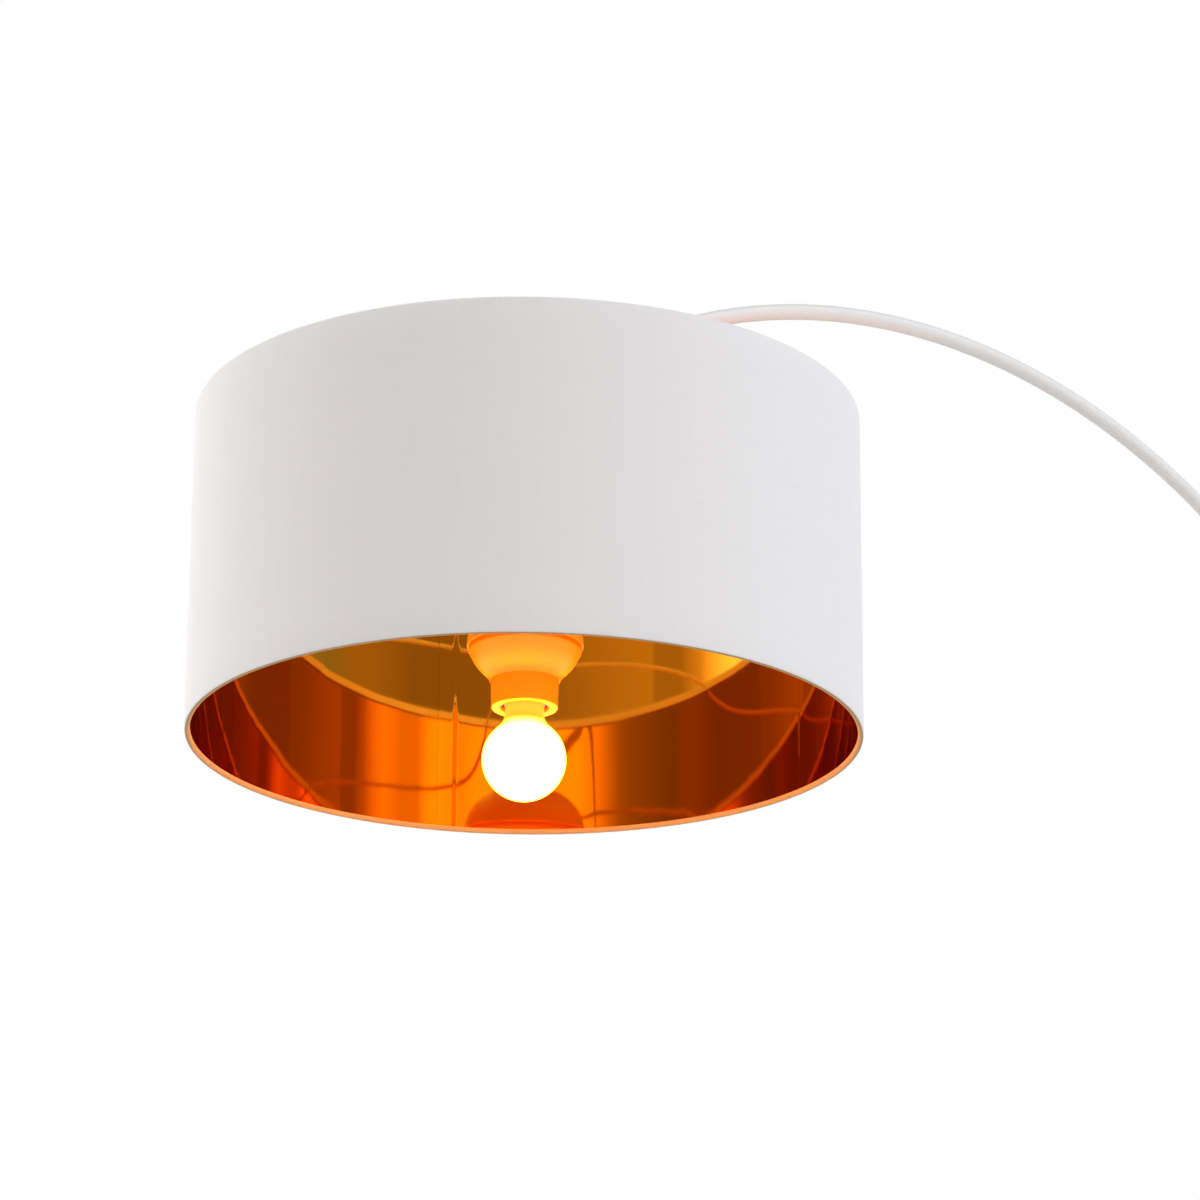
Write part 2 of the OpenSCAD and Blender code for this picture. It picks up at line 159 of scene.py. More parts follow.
studioLight = {
    "backdrop": 1.0,             # the lit paper that the camera faces
    "backdropRound": 0.6,        # the paper away from its spotlight
    "spotDegrees": (11.5, 32),   # where the spotlight starts to fade and where it has gone
    "brightest": 5.0,            # what a level of 1 stands for in the list below
    # panels and dark gaps round the room: degrees left of straight ahead, and their light
    "panels": [
        (-180, 0.056), (-140, 0.052), (-125, 0.07), (-110, 0.08), (-100, 0.09), (-76, 0.125), (-66, 0.17),
        (-58, 0.32), (-45, 0.6), (-34, 0.8), (34, 0.8), (46, 0.62), (60, 0.87), (69, 0.68), (75, 0.37),
        (88, 0.36), (101, 0.5), (108, 0.36), (116, 0.15), (124, 0.078), (134, 0.078), (134.6, 0.108),
        (150, 0.095), (170, 0.07),
    ],
    "panelsFrom": 9,             # degrees up, between which the panels show
    "panelsTo": 26,
    # big soft lights: degrees left of straight ahead, degrees up, focus, strength
    "softboxes": [(-130, 25, 2.0, 2.36), (70, 20, 6.0, 3.7)],
    "fill": 0.02,
    "warmSide": (1.0, 0.975, 0.95, 1.0),
    "coolSide": (0.915, 0.955, 1.0, 1.0),
    "dimPanels": (1.45, 1.0, 0.5, 1.0),  # tungsten light on the walls behind the camera
}


def makeWorld():
    # a room drawn by direction: white paper ahead, a dim studio behind, a soft ceiling
    ahead, right = viewAxes()
    world = bpy.data.worlds.new("studioRoom")
    world.use_nodes = True
    scene.world = world
    tree = world.node_tree
    tree.nodes.clear()
    way = addNode(tree, "ShaderNodeTexCoord").outputs["Generated"]
    forward = addNode(tree, "ShaderNodeVectorMath", {"operation": "DOT_PRODUCT"}, {0: way, 1: ahead})
    leftward = addNode(tree, "ShaderNodeVectorMath", {"operation": "DOT_PRODUCT"}, {0: way, 1: -right})
    angle = addNode(tree, "ShaderNodeMath", {"operation": "ARCTAN2"},
                    {0: leftward.outputs["Value"], 1: forward.outputs["Value"]})
    share = addNode(tree, "ShaderNodeMapRange", None,
                    {"Value": angle.outputs[0], "From Min": -math.pi, "From Max": math.pi})
    ramp = addNode(tree, "ShaderNodeValToRGB", None, {"Fac": share.outputs["Result"]})
    stops = ramp.color_ramp.elements
    for index, (degrees, level) in enumerate(studioLight["panels"]):
        position = (degrees + 180) / 360
        stop = stops[index] if index < 1 else stops.new(position)
        stop.position = position
        stop.color = (level, level, level, 1)
    stops.remove(stops[len(stops) - 1])  # the ramp's own last stop
    level = addNode(tree, "ShaderNodeMath", {"operation": "MULTIPLY"},
                    {0: ramp.outputs["Color"], 1: studioLight["brightest"]})
    height = addNode(tree, "ShaderNodeSeparateXYZ", None, {0: way})
    edges = []
    for key in ("panelsFrom", "panelsTo"):
        edge = math.sin(math.radians(studioLight[key]))
        edges.append(addNode(tree, "ShaderNodeMapRange", {"interpolation_type": "SMOOTHSTEP"},
                             {"Value": height.outputs["Z"],
                              "From Min": edge - 0.04, "From Max": edge + 0.04}))
    band = addNode(tree, "ShaderNodeMath", {"operation": "SUBTRACT"},
                   {0: edges[0].outputs["Result"], 1: edges[1].outputs["Result"]})
    rest = studioLight["fill"]
    for turn, tilt, focus, strength in studioLight["softboxes"]:
        turn, tilt = math.radians(turn), math.radians(tilt)
        bearing = ahead * math.cos(turn) - right * math.sin(turn)
        aim = bearing * math.cos(tilt) + Vector((0, 0, math.sin(tilt)))
        facing = addNode(tree, "ShaderNodeVectorMath", {"operation": "DOT_PRODUCT"}, {0: way, 1: aim})
        lobe = addNode(tree, "ShaderNodeMath", {"operation": "POWER", "use_clamp": True},
                       {0: addNode(tree, "ShaderNodeMath", {"operation": "MAXIMUM"},
                                   {0: facing.outputs["Value"], 1: 0.0}).outputs[0], 1: focus})
        rest = addNode(tree, "ShaderNodeMath", {"operation": "MULTIPLY_ADD"},
                       {0: lobe.outputs[0], 1: strength, 2: rest}).outputs[0]
    room = addNode(tree, "ShaderNodeMix", {"data_type": "FLOAT"},
                   {0: band.outputs[0], 2: rest, 3: level.outputs[0]})
    seen = addNode(tree, "ShaderNodeLightPath").outputs["Is Camera Ray"]
    tilt = math.radians(studioCamera["tilt"])
    axis = ahead * math.cos(tilt) + Vector((0, 0, math.sin(tilt)))
    near, far = (math.cos(math.radians(degrees)) for degrees in studioLight["spotDegrees"])
    offAxis = addNode(tree, "ShaderNodeVectorMath", {"operation": "DOT_PRODUCT"}, {0: way, 1: axis})
    paper = addNode(tree, "ShaderNodeMapRange", {"interpolation_type": "SMOOTHSTEP"}, {
        "Value": offAxis.outputs["Value"], "From Min": far, "From Max": near,
        "To Min": studioLight["backdropRound"], "To Max": studioLight["backdrop"]})
    shown = addNode(tree, "ShaderNodeMix", {"data_type": "FLOAT"},
                    {0: seen, 2: room.outputs[0], 3: paper.outputs["Result"]})
    warmth = addNode(tree, "ShaderNodeMapRange", None, {"Value": leftward.outputs["Value"], "From Min": -1.0})
    tint = addNode(tree, "ShaderNodeMix", {"data_type": "RGBA"},
                   {0: warmth.outputs["Result"], 6: studioLight["coolSide"], 7: studioLight["warmSide"]})
    behind = addNode(tree, "ShaderNodeMapRange", None,
                     {"Value": forward.outputs["Value"], "From Min": -0.25, "From Max": -0.45})
    dim = addNode(tree, "ShaderNodeMath", {"operation": "MULTIPLY"},
                  {0: behind.outputs["Result"], 1: band.outputs[0]})
    warmed = addNode(tree, "ShaderNodeMix", {"data_type": "RGBA"},
                     {0: dim.outputs[0], 6: tint.outputs[2], 7: studioLight["dimPanels"]})
    colour = addNode(tree, "ShaderNodeMix", {"data_type": "RGBA"},
                     {0: seen, 6: warmed.outputs[2], 7: (1, 1, 1, 1)})
    back = addNode(tree, "ShaderNodeBackground", None,
                   {"Color": colour.outputs[2], "Strength": shown.outputs[0]})
    addNode(tree, "ShaderNodeOutputWorld", None, {"Surface": back.outputs[0]})


studioFloor = {"radius": 9.0, "tones": ("#cfcdc9", "#d3d1cd")}


def makeFloor():
    work = bmesh.new()
    bmesh.ops.create_circle(work, cap_ends=True, segments=96, radius=studioFloor["radius"])
    mesh = bpy.data.meshes.new("studioFloor")
    work.to_mesh(mesh)
    work.free()
    floor = newObject("studioFloor", mesh)
    material = bpy.data.materials.new("paleFloorPaint")
    material.use_nodes = True
    tree, shader = material.node_tree, material.node_tree.nodes["Principled BSDF"]
    grain = addNode(tree, "ShaderNodeTexNoise", None,
                    {"Vector": addNode(tree, "ShaderNodeTexCoord").outputs["Object"], "Scale": 3.0})
    first, second = (toLinear(tone) for tone in studioFloor["tones"])
    tone = addNode(tree, "ShaderNodeMix", {"data_type": "RGBA"},
                   {0: grain.outputs["Fac"], 6: first, 7: second})
    tree.links.new(tone.outputs[2], shader.inputs["Base Color"])
    shader.inputs["Roughness"].default_value = 0.8
    setMaterial(floor, material)


makeCamera()
makeWorld()
makeFloor()
print("studio made")


# ---- materials

def startMaterial(name):
    material = bpy.data.materials.new(name)
    material.use_nodes = True
    tree = material.node_tree
    shader = tree.nodes["Principled BSDF"]
    where = addNode(tree, "ShaderNodeTexCoord")
    return material, tree, shader, where


def noiseAt(tree, where, sizeMm, detail=2.0, stretch=(1, 1, 1)):
    # a noise whose grains are about sizeMm across, longer where stretch is small
    mapped = addNode(tree, "ShaderNodeMapping", None, {"Vector": where, "Scale": stretch})
    return addNode(tree, "ShaderNodeTexNoise", None,
                   {"Vector": mapped.outputs[0], "Scale": 1 / (sizeMm * mm), "Detail": detail}).outputs["Fac"]


def between(tree, factor, low, high):
    mapped = addNode(tree, "ShaderNodeMapRange", None, {"Value": factor, "To Min": low, "To Max": high})
    return mapped.outputs["Result"]


def twoTones(tree, factor, first, second):
    return addNode(tree, "ShaderNodeMix", {"data_type": "RGBA"},
                   {0: factor, 6: toLinear(first), 7: toLinear(second)}).outputs[2]


def bumpFrom(tree, height, depthMm, strength=1.0):
    return addNode(tree, "ShaderNodeBump", None,
                   {"Height": height, "Distance": depthMm * mm, "Strength": strength}).outputs["Normal"]


def powderCoat(name="whitePowderCoat", tones=("#eff0f2", "#e9eaec"), rough=0.36):
    # polyester powder, sprayed and baked: a satin white with the faint orange peel of melted grains
    material, tree, shader, where = startMaterial(name)
    spot = where.outputs["Object"]
    tree.links.new(twoTones(tree, noiseAt(tree, spot, 60, 3), *tones), shader.inputs["Base Color"])
    tree.links.new(between(tree, noiseAt(tree, spot, 9, 3), rough - 0.05, rough + 0.06),
                   shader.inputs["Roughness"])
    tree.links.new(bumpFrom(tree, noiseAt(tree, spot, 2.2), 0.006), shader.inputs["Normal"])
    shader.inputs["IOR"].default_value = 1.5
    return material


def platedMetal(name, tones, rough, grainMm, stretch=(1, 1, 1), depthMm=0.004):
    # a bright coat on turned or pressed metal: clouded gloss and the fine marks of its making
    material, tree, shader, where = startMaterial(name)
    spot = where.outputs["Object"]
    tree.links.new(twoTones(tree, noiseAt(tree, spot, 6, 3), *tones), shader.inputs["Base Color"])
    tree.links.new(between(tree, noiseAt(tree, spot, 4, 4), rough * 0.7, rough * 1.4),
                   shader.inputs["Roughness"])
    tree.links.new(bumpFrom(tree, noiseAt(tree, spot, grainMm, 3, stretch), depthMm), shader.inputs["Normal"])
    shader.inputs["Metallic"].default_value = 1.0
    return material


def copperFilm():
    # polyester film with an evaporated copper layer, glued on card: a warm mirror that is never quite flat
    material, tree, shader, where = startMaterial("copperMirrorFilm")
    spot = where.outputs["Object"]
    tint = twoTones(tree, noiseAt(tree, spot, 90), "#da8d1d", "#d6891b")
    ripple = bumpFrom(tree, noiseAt(tree, spot, 22, 1, (1, 1, 0.5)), 0.012)
    tree.links.new(tint, shader.inputs["Base Color"])
    tree.links.new(between(tree, noiseAt(tree, spot, 35, 4), 0.02, 0.05), shader.inputs["Roughness"])
    tree.links.new(ripple, shader.inputs["Normal"])
    shader.inputs["Metallic"].default_value = 1.0
    return material


weave = {
    "threadMm": 0.7,  # real threads are 0.35 mm apart, drawn twice as coarse so that they show
    "depthMm": 0.03,
    "slubMm": 1.4,
}


def shadeCloth(name, tones):
    # polycotton in a tight plain weave, laminated on card: flat, off-white, with faint uneven threads
    material, tree, shader, where = startMaterial(name)
    spot = where.outputs["UV"]
    axes = addNode(tree, "ShaderNodeSeparateXYZ", None, {0: spot})
    rate = 2 * math.pi / (weave["threadMm"] * mm)
    threads = []
    for axis in ("X", "Y"):
        turned = addNode(tree, "ShaderNodeMath", {"operation": "MULTIPLY"}, {0: axes.outputs[axis], 1: rate})
        wave = addNode(tree, "ShaderNodeMath", {"operation": "SINE"}, {0: turned.outputs[0]})
        threads.append(wave.outputs[0])
    crossed = addNode(tree, "ShaderNodeMath", {"operation": "MULTIPLY"}, {0: threads[0], 1: threads[1]})
    warp = noiseAt(tree, spot, weave["slubMm"], 2, (1, 0.04, 1))
    weft = noiseAt(tree, spot, weave["slubMm"], 2, (0.04, 1, 1))
    slubs = addNode(tree, "ShaderNodeMath", {"operation": "ADD"}, {0: warp, 1: weft})
    relief = addNode(tree, "ShaderNodeMath", {"operation": "MULTIPLY_ADD"},
                     {0: crossed.outputs[0], 1: 0.35, 2: slubs.outputs[0]})
    tone = between(tree, slubs.outputs[0], -0.2, 0.6)
    tree.links.new(twoTones(tree, tone, *tones), shader.inputs["Base Color"])
    tree.links.new(bumpFrom(tree, relief.outputs[0], weave["depthMm"], 0.6), shader.inputs["Normal"])
    shader.inputs["Roughness"].default_value = 0.85
    shader.inputs["Sheen Weight"].default_value = 0.12
    shader.inputs["Sheen Roughness"].default_value = 0.5
    return material


def mouldedPlastic(name, tones, rough=0.32, depthMm=0.01, paintedGlow=None):
    # injection-moulded plastic: even colour, gloss from a polished mould with slight spark texture;
    # the glow given is painted light: an emission standing in for the lamp light that comes through a thin
    # wall
    material, tree, shader, where = startMaterial(name)
    spot = where.outputs["Object"]
    tree.links.new(twoTones(tree, noiseAt(tree, spot, 25, 2), *tones), shader.inputs["Base Color"])
    tree.links.new(between(tree, noiseAt(tree, spot, 5, 3), rough - 0.04, rough + 0.06),
                   shader.inputs["Roughness"])
    tree.links.new(bumpFrom(tree, noiseAt(tree, spot, 0.8, 2), depthMm), shader.inputs["Normal"])
    shader.inputs["IOR"].default_value = 1.57
    # painted glow: emission standing in for lamp light on a part that is no lamp
    if paintedGlow:
        shader.inputs["Emission Color"].default_value = (*paintedGlow, 1)
        shader.inputs["Emission Strength"].default_value = 1.0
    return material


bulbLight = {
    "middle": (105.0, 33.0, 2.2),
    "rim": (11.0, 2.2, 0.01),
    "rimFrom": 0.5,      # 0 where the glass faces the eye, 1 at its outline
    "rimTo": 0.88,
    "neck": (1.6, 0.4, 0.01),
    "neckFromMm": 11,    # above the middle of the ball
    "neckToMm": 24,
}


def litOpalGlass():
    # glass with a baked white lining, lit by a warm filament: evenly bright, with a glossy skin
    material, tree, shader, where = startMaterial("litOpalGlass")
    spot = where.outputs["Object"]
    # the base colour is painted warm shade: white opal glass drawn dimmed and amber, as it looks in its own
    # light
    tree.links.new(twoTones(tree, noiseAt(tree, spot, 12), "#c9a067", "#c0965c"), shader.inputs["Base Color"])
    shader.inputs["Roughness"].default_value = 0.08
    edge = addNode(tree, "ShaderNodeLayerWeight", None, {"Blend": 0.5}).outputs["Facing"]
    share = addNode(tree, "ShaderNodeMapRange", None,
                    {"Value": edge, "From Min": bulbLight["rimFrom"], "From Max": bulbLight["rimTo"]})
    glow = addNode(tree, "ShaderNodeMix", {"data_type": "RGBA"},
                   {0: share.outputs["Result"], 6: (*bulbLight["middle"], 1), 7: (*bulbLight["rim"], 1)})
    low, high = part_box("bulb_glass")
    middle = low.z + (high.x - low.x) / 2
    height = addNode(tree, "ShaderNodeSeparateXYZ", None, {0: spot}).outputs["Z"]
    neckFrom, neckTo = (middle + bulbLight[key] * mm for key in ("neckFromMm", "neckToMm"))
    upNeck = addNode(tree, "ShaderNodeMapRange", {"interpolation_type": "SMOOTHSTEP"},
                     {"Value": height, "From Min": neckFrom, "From Max": neckTo})
    faded = addNode(tree, "ShaderNodeMix", {"data_type": "RGBA"},
                    {0: upNeck.outputs["Result"], 6: glow.outputs[2], 7: (*bulbLight["neck"], 1)})
    tree.links.new(faded.outputs[2], shader.inputs["Emission Color"])
    shader.inputs["Emission Strength"].default_value = 1.0
    return material


def clearGlass():
    # soda-lime glass of the mount inside the bulb
    material, tree, shader, where = startMaterial("clearStemGlass")
    spot = where.outputs["Object"]
    tree.links.new(between(tree, noiseAt(tree, spot, 3), 0.01, 0.05), shader.inputs["Roughness"])
    shader.inputs["Transmission Weight"].default_value = 1.0
    shader.inputs["IOR"].default_value = 1.52
    return material


def castIron():
    # grey iron from a sand mould under black primer: dull and pitted
    material, tree, shader, where = startMaterial("primedCastIron")
    spot = where.outputs["Object"]
    tree.links.new(twoTones(tree, noiseAt(tree, spot, 18, 5), "#2b2b2d", "#3c3b3a"),
                   shader.inputs["Base Color"])
    tree.links.new(between(tree, noiseAt(tree, spot, 7, 4), 0.55, 0.8), shader.inputs["Roughness"])
    tree.links.new(bumpFrom(tree, noiseAt(tree, spot, 1.6, 4), 0.3), shader.inputs["Normal"])
    return material


def padRubber():
    # die-cut solid rubber: matt black, a little chalky with talc
    material, tree, shader, where = startMaterial("blackPadRubber")
    spot = where.outputs["Object"]
    tree.links.new(twoTones(tree, noiseAt(tree, spot, 14, 4), "#1b1b1c", "#2c2c2d"),
                   shader.inputs["Base Color"])
    tree.links.new(bumpFrom(tree, noiseAt(tree, spot, 0.9, 3), 0.06), shader.inputs["Normal"])
    shader.inputs["Roughness"].default_value = 0.85
    return material


materials = {
    "enamel": powderCoat(),
    "knuckle": powderCoat("satinWhiteCoat", ("#eeeeec", "#e6e6e4"), 0.3),
    "film": copperFilm(),
    "cloth": shadeCloth("laminatedPolycotton", ("#e6e6eb", "#f0f0f4")),
    "hem": shadeCloth("hemClothPaintedLightAndShade", ("#b49262", "#be9c6c")),  # painted light and shade: amber-tan for the bulb's orange light on the rolled edge and the shade under it
    # ivory plastic, its base colour painted in the amber of the lit bulb's light, and given a painted glow
    "holder": mouldedPlastic("ivoryPbtMouldingPaintedAmberLight", ("#efa414", "#e99c10"), paintedGlow=(0.3, 0.075, 0.0)),
    "nylon": mouldedPlastic("naturalNylon", ("#ecebe4", "#e2e0d6"), 0.42, 0.02),
    "cable": mouldedPlastic("whitePvcSheath", ("#ecebe8", "#e4e3df"), 0.45, 0.01),
    "porcelain": mouldedPlastic("glazedSteatite", ("#efece2", "#e6e1d4"), 0.25, 0.04),
    "blackGlass": mouldedPlastic("blackCapGlass", ("#0e0e10", "#16161a"), 0.12, 0.01),
    "opal": litOpalGlass(),
    "clear": clearGlass(),
    "iron": castIron(),
    "rubber": padRubber(),
    "nickel": platedMetal("polishedNickelPlate", ("#d9d7d0", "#cfcdc6"), 0.16, 0.7),
    "zinc": platedMetal("zincPlatedSteel", ("#b9bcc0", "#a8acb2"), 0.34, 1.1),
    "brass": platedMetal("drawnBrass", ("#d8b566", "#c9a556"), 0.28, 0.5, (1, 1, 0.06)),
    "oxide": platedMetal("blackOxideSteel", ("#3a3b3e", "#2c2d30"), 0.42, 0.6),
    "aluminium": platedMetal("rolledAluminium", ("#d4d6d8", "#c8cacd"), 0.25, 0.6, (1, 1, 3)),
    "solder": platedMetal("dullSolder", ("#a9abac", "#97999a"), 0.45, 0.9, (1, 1, 1), 0.05),
    "tungsten": platedMetal("drawnTungsten", ("#8d8984", "#7c7873"), 0.4, 0.2),
}
print("materials made:", len(materials))


# ---- turned and swept shapes

def roundedOutline(corners, steps=5):
    # corners are (radius, height, rounding); each rounding becomes an arc
    points = []
    for index, (r, z, rounding) in enumerate(corners):
        corner = Vector((r, z))
        before = Vector(corners[index - 1][:2]) - corner
        after = Vector(corners[(index + 1) % len(corners)][:2]) - corner
        if rounding <= 0:
            points.append((r, z))
            continue
        before.normalize()
        after.normalize()
        half = before.angle(after) / 2
        middle = corner + (before + after).normalized() * rounding / math.sin(half)
        start = corner + before * rounding / math.tan(half) - middle
        sweep = start.angle_signed(corner + after * rounding / math.tan(half) - middle)
        for step in range(steps + 1):
            turned = start.copy()
            turned.rotate(Matrix.Rotation(-sweep * step / steps, 2))
            points.append(tuple(middle + turned))
    return points


def turnedMesh(name, outline, material, centre=(0, 0), segments=128):
    # spins a closed outline, in metres, round a vertical line
    work = bmesh.new()
    rings = []
    for r, z in outline:
        if r < 1e-7:
            rings.append([work.verts.new((centre[0], centre[1], z))] * segments)
        else:
            angles = [2 * math.pi * step / segments for step in range(segments)]
            rings.append([work.verts.new((centre[0] + r * math.cos(a), centre[1] + r * math.sin(a), z))
                          for a in angles])
    for low, high in zip(rings, rings[1:] + rings[:1]):
        for step in range(segments):
            around = (step + 1) % segments
            corners = list(dict.fromkeys([low[step], low[around], high[around], high[step]]))
            if len(corners) > 2:
                work.faces.new(corners)
    bmesh.ops.recalc_face_normals(work, faces=work.faces)
    mesh = bpy.data.meshes.new(name)
    work.to_mesh(mesh)
    work.free()
    shadeByAngle(mesh)
    return setMaterial(newObject(name, mesh), material)


def softenedCopy(name, node, material, widthMm, segments=3):
    # the CAD shape with its edges eased, as tumbling and coating leave them
    mesh = frame["nodes"][node].data.copy()
    work = bmesh.new()
    work.from_mesh(mesh)
    bmesh.ops.remove_doubles(work, verts=work.verts, dist=0.002 * mm)
    bmesh.ops.dissolve_limit(work, angle_limit=math.radians(1), verts=work.verts, edges=work.edges)
    work.to_mesh(mesh)
    work.free()
    made = setMaterial(newObject(name + "Rough", mesh), material)
    bevel = made.modifiers.new("easedEdges", "BEVEL")
    bevel.width = widthMm * mm
    bevel.segments = segments
    bevel.limit_method = "ANGLE"
    bevel.angle_limit = math.radians(35)
    bevel.use_clamp_overlap = True
    plain = asPlainMesh(made, name)
    shadeByAngle(plain.data)
    return plain


def startTree(name, inputs):
    # a geometry tree with named inputs, which ends in Realize Instances and Set Material
    tree = bpy.data.node_groups.new(name, "GeometryNodeTree")
    tree.is_modifier = True
    for label, kind in inputs:
        tree.interface.new_socket(name=label, in_out="INPUT", socket_type="NodeSocket" + kind)
    tree.interface.new_socket(name="Material", in_out="INPUT", socket_type="NodeSocketMaterial")
    tree.interface.new_socket(name="Geometry", in_out="OUTPUT", socket_type="NodeSocketGeometry")
    return tree, addNode(tree, "NodeGroupInput").outputs


def endTree(tree, given, geometry):
    smooth = addNode(tree, "GeometryNodeSetShadeSmooth", None, {"Geometry": geometry})
    real = addNode(tree, "GeometryNodeRealizeInstances", None, {"Geometry": smooth.outputs[0]})
    finished = addNode(tree, "GeometryNodeSetMaterial", None,
                       {"Geometry": real.outputs[0], "Material": given["Material"]})
    addNode(tree, "NodeGroupOutput", None, {"Geometry": finished.outputs[0]})


def runTree(tree, name, values, sharpDegrees=35):
    made = newObject(name + "Rough", bpy.data.meshes.new(name + "Rough"))
    modifier = made.modifiers.new("shape", "NODES")
    modifier.node_group = tree
    sockets = {item.name: item.identifier for item in tree.interface.items_tree if item.in_out == "INPUT"}
    for label, value in values.items():
        modifier[sockets[label]] = value
    plain = asPlainMesh(made, name)
    shadeByAngle(plain.data, sharpDegrees)
    return plain


def maths(tree, operation, first, second=0.0, third=0.0):
    return addNode(tree, "ShaderNodeMath", {"operation": operation},
                   {0: first, 1: second, 2: third}).outputs[0]


# ---- the shade: cloth over two wire rings, and the copper film inside it

shade = {
    "seamDegrees": 68.7,    # where the cloth and the film overlap, from +X
    "clothMm": 0.3,
    "rollMm": 1.7,          # the cloth's rolled edge round a wire ring
    "tucksMm": (1.2, 4.4),  # what shows of the cloth inside the lower and the upper edge
    "lapMm": 10,
    "steps": 360,
}


def shadeOutline():
    # the cloth's section from the lower tuck, under the ring, up and over the upper ring, in metres
    roll = shade["rollMm"] * mm
    outer = shadeRadius - shade["clothMm"] * mm / 2 - 0.05 * mm
    curl = roll - shade["clothMm"] * mm / 2
    arcSteps = 8
    height = shadeHigh.z - shadeLow.z
    arc = []
    for step in range(arcSteps + 1):
        angle = math.pi + math.pi * step / arcSteps
        arc.append((outer - curl + curl * math.cos(angle), roll + curl * math.sin(angle)))
    under, over = (roll + tuck * mm for tuck in shade["tucksMm"])
    lower = [(outer - 2 * curl, under)] + arc
    upright = [(outer, roll + (height - 2 * roll) * step / 12) for step in range(1, 12)]
    upper = [(r, height - z) for r, z in reversed(arc)] + [(outer - 2 * curl, height - over)]
    return lower + upright + upper


def makeShadeCloth():
    # one strip round the drum, whose end laps over its start
    outline = shadeOutline()
    # faces on the inside and underside of the lower roll take the hem material, with its painted bulb light
    # and painted shade
    hemTop, hemSide = 2 * shade["rollMm"] * mm, shadeRadius - 0.6 * shade["rollMm"] * mm
    inHem = [z < hemTop and r < hemSide for r, z in outline]
    length = 2 * math.pi * shadeRadius + shade["lapMm"] * mm
    work = bmesh.new()
    along = work.loops.layers.uv.new("UVMap")
    columns, travel = [], [0.0]
    for first, second in zip(outline, outline[1:]):
        travel.append(travel[-1] + math.dist(first, second))
    steps = shade["steps"] + 3
    for step in range(steps + 1):
        run = length * step / steps
        angle = math.radians(shade["seamDegrees"]) + run / shadeRadius
        # the start lies under the end
        inset = 1.1 * shade["clothMm"] * mm * max(0.0, 1 - run / (2 * shade["lapMm"] * mm))
        columns.append([work.verts.new((shadeAxis.x + (r - inset) * math.cos(angle),
                                        shadeAxis.y + (r - inset) * math.sin(angle), shadeLow.z + z))
                        for r, z in outline])
    for step in range(steps):
        for row in range(len(outline) - 1):
            face = work.faces.new((columns[step][row], columns[step + 1][row],
                                   columns[step + 1][row + 1], columns[step][row + 1]))
            face.smooth = True
            face.material_index = int(inHem[row])
            spots = ((step, row), (step + 1, row), (step + 1, row + 1), (step, row + 1))
            for loop, (column, level) in zip(face.loops, spots):
                loop[along].uv = (length * column / steps, travel[level])
    mesh = bpy.data.meshes.new("shadeCloth")
    work.to_mesh(mesh)
    work.free()
    for key in ("cloth", "hem"):
        mesh.materials.append(materials[key])
    cloth = newObject("shadeClothRough", mesh)
    thick = cloth.modifiers.new("thickness", "SOLIDIFY")
    thick.thickness = shade["clothMm"] * mm
    thick.offset = 0
    cloth = asPlainMesh(cloth, "shadeCloth")
    shadeByAngle(cloth.data, 50)
    standIn(cloth, "head", "white_fabric", "shade_fabric")
    return travel[-1], length


film = {
    "thickMm": 0.35,
    "liftMm": 0.45,     # how far the lapped end stands off the wall
    "easeMm": 2.2,      # over what run it comes away
    "rippleMm": 0.09,   # waves in the card, seen only in the mirror
    "rippleLengthMm": 46,
    "creaseMm": 0.24,   # sharp folds, seen as kinks in the mirrored lines
    "creaseLengthMm": 60,
    "columns": 1081,
    "rows": 41,
    "seed": 4.0,
}


